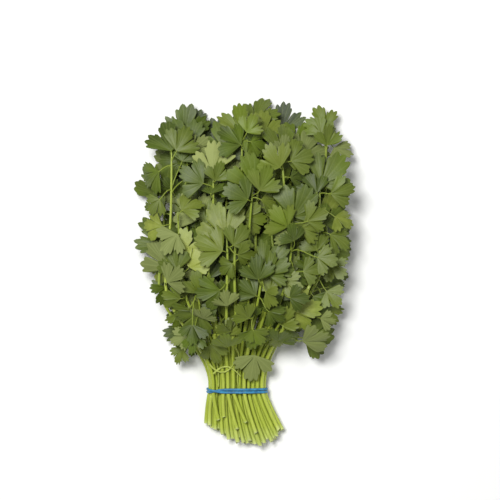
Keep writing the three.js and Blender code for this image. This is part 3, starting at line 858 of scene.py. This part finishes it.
def leaf_pattern(number):
    """One leaflet of length 1 that lies along +X with its foot at the origin."""
    uneven = np.random.default_rng(100 + number)
    spread = math.radians(uneven.uniform(60, 80))
    lobe_edges = np.array([-1, uneven.uniform(-0.4, -0.3), uneven.uniform(0.3, 0.4), 1.0])
    lobe_reach = np.array([uneven.uniform(0.82, 0.95), 1, uneven.uniform(0.82, 0.95)])
    slit_depth = uneven.uniform(*SLITS["inner"], 2)
    teeth_in_lobe = np.array(LOBE_TEETH[number % len(LOBE_TEETH)])
    teeth_before = np.append(0, np.cumsum(teeth_in_lobe))
    teeth = teeth_before[-1]
    select_none()
    bpy.ops.mesh.primitive_grid_add(x_subdivisions=int(teeth) * TOOTH_COLUMNS,
                                    y_subdivisions=BLADE_ROWS, size=1)
    blade = bpy.context.object
    blade.name = f"leaflet_pattern_{number + 1}"
    flat = mesh_points(blade)
    phase = (flat[:, 0] + 0.5) * teeth
    out = flat[:, 1] + 0.5

    lobe = np.clip(np.searchsorted(teeth_before, phase + 1e-4, side="right") - 1, 0, 2)
    share = (phase - teeth_before[lobe]) / teeth_in_lobe[lobe]
    within = 2 * share - 1
    across = lobe_edges[lobe] + (lobe_edges[lobe + 1] - lobe_edges[lobe]) * share
    depth = np.where(within < 0, np.array([SLITS["outer"], *slit_depth])[lobe],
                     np.array([*slit_depth, SLITS["outer"]])[lobe])
    lobe_line = lobe_reach[lobe] * (1 - depth * np.abs(within) ** 5 - SLITS["rounding"] * within**2)

    tooth = phase - np.floor(phase + 1e-4)
    crest = 1 - np.abs(2 * tooth - 1) ** 1.55
    notches = uneven.uniform(*NOTCHES, teeth + 1)
    tooth_reach = uneven.uniform(-0.03, 0.03, teeth + 1)[np.floor(phase + 1e-4).astype(int)]
    edge_line = lobe_line + tooth_reach * crest - notches[np.round(phase).astype(int)] * (1 - crest)

    rows = out ** 0.85
    rim = np.clip((rows - TEETH_FROM) / (1 - TEETH_FROM), 0, 1)
    reach = rows * lobe_line + rim * rim * (edge_line - lobe_line)
    spill = LOBE_SPILL * within * (1 - within**6) * np.clip(2 * rows - 1, 0, 1)
    angle = (across + spill) * spread
    x = reach * np.cos(angle)
    y = reach * np.sin(angle)

    vein = np.abs(tooth - 0.5) * (spread * 2 / teeth) * reach
    lobe_middle = np.abs(within) * (lobe_edges[lobe + 1] - lobe_edges[lobe]) / 2 * spread * reach
    vein = np.minimum(vein + 0.008 * (1 - rows), np.maximum(lobe_middle - 0.006, 0))
    folds = -LOBE_FOLD * np.cos(within * math.pi) * rows
    teeth_folds = TOOTH_FOLD * np.cos(2 * math.pi * tooth) * rows
    curl = sum(amount * np.cos(turns * across * 1.7 + start) * rows**2
               for amount, turns, start in zip(uneven.uniform(-CURL, CURL, 3), (1, 2, 3),
                                               uneven.uniform(0, 6, 3)))
    overlap = np.where(lobe == 1, LOBE_OVERLAP, -LOBE_OVERLAP) * within**2 * rows**2
    set_points(blade, np.column_stack([x, y, folds + teeth_folds + curl + overlap]))
    set_attribute(blade, "vein", vein)
    edit_mesh(blade)
    bpy.ops.mesh.select_all(action="SELECT")
    bpy.ops.mesh.remove_doubles(threshold=0.0005)
    bpy.ops.mesh.normals_make_consistent(inside=False)
    bpy.ops.object.mode_set(mode="OBJECT")
    if blade.data.polygons[0].normal.z < 0:
        blade.data.flip_normals()
    blade.data.materials.append(upper_skin)
    blade.data.materials.append(under_skin)
    wall = blade.modifiers.new("Solidify", "SOLIDIFY")
    wall.thickness = BLADE_THICKNESS
    wall.offset = -1
    wall.material_offset = 1
    bpy.ops.object.modifier_apply(modifier=wall.name)
    bpy.ops.object.shade_smooth_by_angle(angle=math.radians(70))
    return blade


leaf_patterns = [leaf_pattern(number) for number in range(PATTERNS)]
leaf_pattern_points = [mesh_points(pattern) for pattern in leaf_patterns]

LOPSIDED = 0.12
RESTING_CURL = 0.3
FOOT_RADIUS = (0.62, 0.36)
FOOT_PULL = 0.35  # how far the two ends of a foot hold to their own directions


def make_leaflet(name, leaflet, seed):
    """A leaflet at its place: its blade domed from the foot and drooping at the tips."""
    uneven = np.random.default_rng(seed)
    choice = uneven.integers(PATTERNS)
    x, y, z = leaf_pattern_points[choice].T.copy()
    far = np.hypot(x, y)
    y = y + uneven.uniform(-LOPSIDED, LOPSIDED) * x * x
    length = leaflet["length"]
    along, left, up = leaflet["axes"]
    if leaflet["flipped"]:
        left, up = -left, -up
    dome = leaflet["arch"] * far * (4.2 - 5.3 * far) * (-1 if leaflet["flipped"] else 1)
    lift = z * length * (RESTING_CURL if leaflet["resting"] else 1) + dome
    points = leaflet["base"] + along * (x * length)[:, None] + left * (y * length)[:, None]
    points = points + up * lift[:, None]
    blade = copy_of(leaf_patterns[choice], name)
    set_points(blade, to_part(points))
    set_attribute(blade, "tone_and_shading", leaflet["tone_and_shading"])
    return blade


def bezier(controls, share):
    """A point on the smooth curve that four control points pull on."""
    back = 1 - share
    weights = (back**3, 3 * back * back * share, 3 * back * share * share, share**3)
    return sum(weight * control for weight, control in zip(weights, controls))


def make_foot(name, stalk, leaflet):
    """The slim stalk of a leaflet, curving from the main stalk into the blade's foot."""
    root = stalk["course"](leaflet["root_y"])
    tangent = unit(stalk["course"](leaflet["root_y"] + 1) - stalk["course"](leaflet["root_y"] - 1))
    base, (along, left, up) = leaflet["base"], leaflet["axes"]
    reach = math.dist(root, base)
    control_a = root + unit(tangent + unit(base - root)) * reach * FOOT_PULL
    control_b = base - along * reach * FOOT_PULL
    end = base + along * 0.8 + up * (leaflet["arch"] * 0.12)

    def place_at(share):
        return bezier((root, control_a, control_b, end), share)

    foot = copy_of(foot_pattern, name)
    set_points(foot, to_part(bend_along(mesh_points(foot_pattern), place_at,
                                        lambda share: lerp(*FOOT_RADIUS, share))))
    # The feet take the darkest green of the stalk colours, partly painted shade among the leaves.
    set_attribute(foot, "up_stalk_and_shade", 1.0)
    set_attribute(foot, "tone_and_shading", leaflet["tone_and_shading"])
    return foot


def join_parts(parts):
    """Joins parts into the first of them."""
    select_none()
    for part in parts:
        part.select_set(True)
    bpy.context.view_layer.objects.active = parts[0]
    bpy.ops.object.join()


# How light a leaflet's green is: a middle, random spreads by stalk and by leaf, and a painted shade that
# darkens leaflets lying deep under the top layer.
TONE = {"middle": 0.57, "of_stalk": 0.07, "of_leaf": 0.15, "painted_shade_deep_inside": 0.38}
UNDERSIDE_UP = 0.14  # the share of leaflets that show their undersides
SLIPPED_TONE = 0.6
shades = np.random.default_rng(7)
for number, stalk in enumerate(stalks):
    parts = [stems[number]]
    own_tone = shades.uniform(-TONE["of_stalk"], TONE["of_stalk"])
    for i, leaflet in enumerate(stalk["leaflets"]):
        base = leaflet["base"]
        # Leaflets deep under the top layer are painted darker, as painted shade from the leaves above.
        depth = smoothstep(4, 36, flow_z(1, base[0], base[1]) - base[2])
        tone_and_shading = TONE["middle"] + own_tone + shades.normal(0, TONE["of_leaf"]) - TONE["painted_shade_deep_inside"] * depth
        leaflet["tone_and_shading"] = float(np.clip(tone_and_shading, 0, 1))
        leaflet["flipped"] = not leaflet["resting"] and shades.uniform() < UNDERSIDE_UP
        if leaflet.get("slipped"):
            leaflet["flipped"], leaflet["tone_and_shading"] = True, SLIPPED_TONE
        parts.append(make_leaflet(f"blade_{number + 1}_{i}", leaflet, 1000 * (number + 1) + i))
        parts.append(make_foot(f"foot_{number + 1}_{i}", stalk, leaflet))
    join_parts(parts)
    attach(parts[0], "root")
    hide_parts(f"leafy_stalk_{number + 1:02d}")


# ---- Loose leaf feet ----
# A few slim feet have lost their leaflets. They are paler than the rest and lie curled on the
# stalks, just above the band.

# How far each is over the top layer's middle, and the points that pull its curve.
LOOSE_FEET = (
    {"over": 2.2, "controls": ((-12, 36), (-20, 26), (-13, 14), (-15.3, 3))},
    {"over": 2.2, "controls": ((-3, 37), (7, 27), (-3, 15), (1.5, 3))},
    {"over": 6.8, "controls": ((-22, 22), (-15, 12), (-6, 14), (-2, 24))},
    {"over": 6.8, "controls": ((-19, 14), (-10, 24), (-4, 20), (3, 12))},
)
LOOSE_FOOT_RADIUS = (0.8, 0.5)
LOOSE_FOOT_PALENESS = 0.03
loose_feet = []
for number, wisp in enumerate(LOOSE_FEET):
    controls = [np.array([x, y, flow_z(1, x, y) + wisp["over"]]) for x, y in wisp["controls"]]

    def place_at(share):
        return bezier(controls, share)

    loose_feet.append(make_stalk(f"loose_leaf_foot_{number + 1}", place_at,
                                 lambda share: lerp(*LOOSE_FOOT_RADIUS, share), 300 + number))
    set_attribute(loose_feet[-1], "up_stalk_and_shade", LOOSE_FOOT_PALENESS)
join_parts(loose_feet)
loose_feet[0].name = "loose_leaf_feet"
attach(loose_feet[0], "root")

# The patterns have all been copied.
for pattern in (stalk_pattern, foot_pattern, *leaf_patterns):
    bpy.data.objects.remove(pattern)


# ---- Elastic band ----
# One loop of blue rubber goes twice round the stalks. Its two strands lie side by side, pulled a
# little narrow, and one crosses over the other on top, towards the left.

# At: the share of the way round from the right.
CROSSING = {"at": 0.385, "hop": 1.65, "swiftness": 4}
RING_RADIUS = 10
SUNK = 0.3  # how far the rubber presses into the stalks
BAND_STEPS = 288
BAND_SIDES = 12


def way_round(held):
    """The line that the band follows: the hull of the stalks at the band, a little way out."""
    middles = [stalk["points"][1] for stalk in held]
    reach = [stalk["radii"][1] + BAND["fit"] + BAND["thickness"] / 2 for stalk in held]
    outline = []
    for i in range(181):
        x, z = math.cos(math.radians(2 * i)), math.sin(math.radians(2 * i))
        far = [m[0] * x + m[2] * z + r for m, r in zip(middles, reach)]
        outer = far.index(max(far))
        outline.append((middles[outer][0] + x * reach[outer], middles[outer][2] + z * reach[outer]))
    return np.array(outline)


band_line = way_round([*stalks, *short_stalks])
band_lengths = np.append(0, np.cumsum(np.hypot(*np.diff(band_line, axis=0).T)))


def band_place(share):
    """The point a share of the way round, as (x, z)."""
    at = (share % 1) * band_lengths[-1]
    return np.array([np.interp(at, band_lengths, band_line[:, 0]),
                     np.interp(at, band_lengths, band_line[:, 1])])


# Blue natural rubber, extruded and cut: dull, with a faint bloom in patches 3 mm wide, and with its
# grain drawn 0.4 mm wide, coarse enough to show.
rubber, tree, shader = new_material("natural_rubber", Roughness=0.55, IOR=1.52)
place = add_node(tree, "TexCoord")
bloom = add_node(tree, "TexNoise", {
    "Vector": place.outputs["Object"], "Scale": 1 / 0.003, "Detail": 3.0})
blue = add_node(tree, "ValToRGB", {"Fac": bloom.outputs["Fac"]})
stops = blue.color_ramp.elements
stops[0].position, stops[0].color = 0.3, linear("#1a6291")
stops[1].position, stops[1].color = 0.72, linear("#3d92bf")
tree.links.new(blue.outputs["Color"], shader.inputs["Base Color"])
grain = add_node(tree, "TexNoise", {
    "Vector": place.outputs["Object"], "Scale": 1 / 0.0004, "Detail": 2.0})
bump = add_node(tree, "Bump", {
    "Height": grain.outputs["Fac"], "Strength": 0.25, "Distance": 0.0001})
tree.links.new(bump.outputs["Normal"], shader.inputs["Normal"])

select_none()
bpy.ops.mesh.primitive_torus_add(major_segments=BAND_STEPS, minor_segments=BAND_SIDES,
                                 major_radius=RING_RADIUS, minor_radius=1)
band = bpy.context.object
band.name = "elastic_band_doubled"
ring = mesh_points(band)
looped = np.empty_like(ring)
apart = (BAND["width"] + BAND["gap"]) / 2
for i, (x, y, z) in enumerate(ring):
    turn = (math.atan2(y, x) / math.pi) % 2
    place = band_place(turn)
    ahead = unit(band_place(turn + 0.006) - band_place(turn - 0.006))
    swap = math.pi * (turn - CROSSING["at"])
    sway = math.pi / 2 * min(1, max(-1, CROSSING["swiftness"] * math.sin(swap)))
    hop = CROSSING["hop"] * math.cos(sway) if math.cos(swap) > 0 else 0
    out = hop + BAND["thickness"] / 2 * (math.hypot(x, y) - RING_RADIUS) - SUNK
    side = apart * math.sin(sway) + BAND["width"] / 2 * z
    looped[i] = (place[0] + out * ahead[1], side, place[1] - out * ahead[0])
set_points(band, to_part(looped))
bpy.ops.object.shade_smooth()
edit_mesh(band)
bpy.ops.mesh.select_all(action="SELECT")
bpy.ops.mesh.normals_make_consistent(inside=False)
bpy.ops.object.mode_set(mode="OBJECT")
band.data.materials.append(rubber)
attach(band, "root")
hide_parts("elastic_band")


# ---- The surface, the light and the camera ----
# The bunch lies on a plain pale surface under a broad soft lamp, seen from straight above.

# The surface is a hair lower than the leaves that rest on it.
select_none()
bpy.ops.mesh.primitive_plane_add(size=3, location=(0, 0, -0.0002))
floor = bpy.context.object
floor.name = "pale_surface"
# Matt painted board: plain and pale, with no gloss to speak of.
floor.data.materials.append(
    new_material("matt_white_board", Roughness=0.8, Base_Color=linear("#f7f7f5"))[0])

world = bpy.data.worlds.new("soft_daylight")
world.use_nodes = True
background = world.node_tree.nodes["Background"].inputs
background["Color"].default_value = linear("#f4f6f8")
background["Strength"].default_value = 0.25
bpy.context.scene.world = world
bpy.context.scene.view_settings.view_transform = "Standard"

# Name, place and size in metres, and power in watts.
LAMPS = (
    ("key_lamp", (-0.3, 0.36, 1.45), 0.45, 22.5),
    ("fill_lamp", (0.8, -0.5, 1.1), 1.4, 3),
)
for name, spot, size, power in LAMPS:
    lamp = bpy.data.lights.new(name, "AREA")
    lamp.size = size
    lamp.energy = power
    lamp_object = bpy.data.objects.new(name, lamp)
    lamp_object.location = spot
    aim = -np.array(spot)
    lamp_object.rotation_euler = (math.atan2(math.hypot(aim[0], aim[1]), -aim[2]), 0,
                                  math.atan2(aim[0], -aim[1]) + math.pi)
    bpy.context.collection.objects.link(lamp_object)

VIEW_CENTRE = to_part(np.array([10.4, 113.6, 0]))
VIEW_WIDTH = 0.4
LEAF_HEIGHT = 0.03
CAMERA_HEIGHT = 1.6
SENSOR_WIDTH = 36
camera_data = bpy.data.cameras.new("camera")
camera_data.sensor_width = SENSOR_WIDTH
camera_data.lens = SENSOR_WIDTH * (CAMERA_HEIGHT - LEAF_HEIGHT) / VIEW_WIDTH
camera = bpy.data.objects.new("camera", camera_data)
camera.location = (*VIEW_CENTRE[:2], CAMERA_HEIGHT)
bpy.context.collection.objects.link(camera)
bpy.context.scene.camera = camera
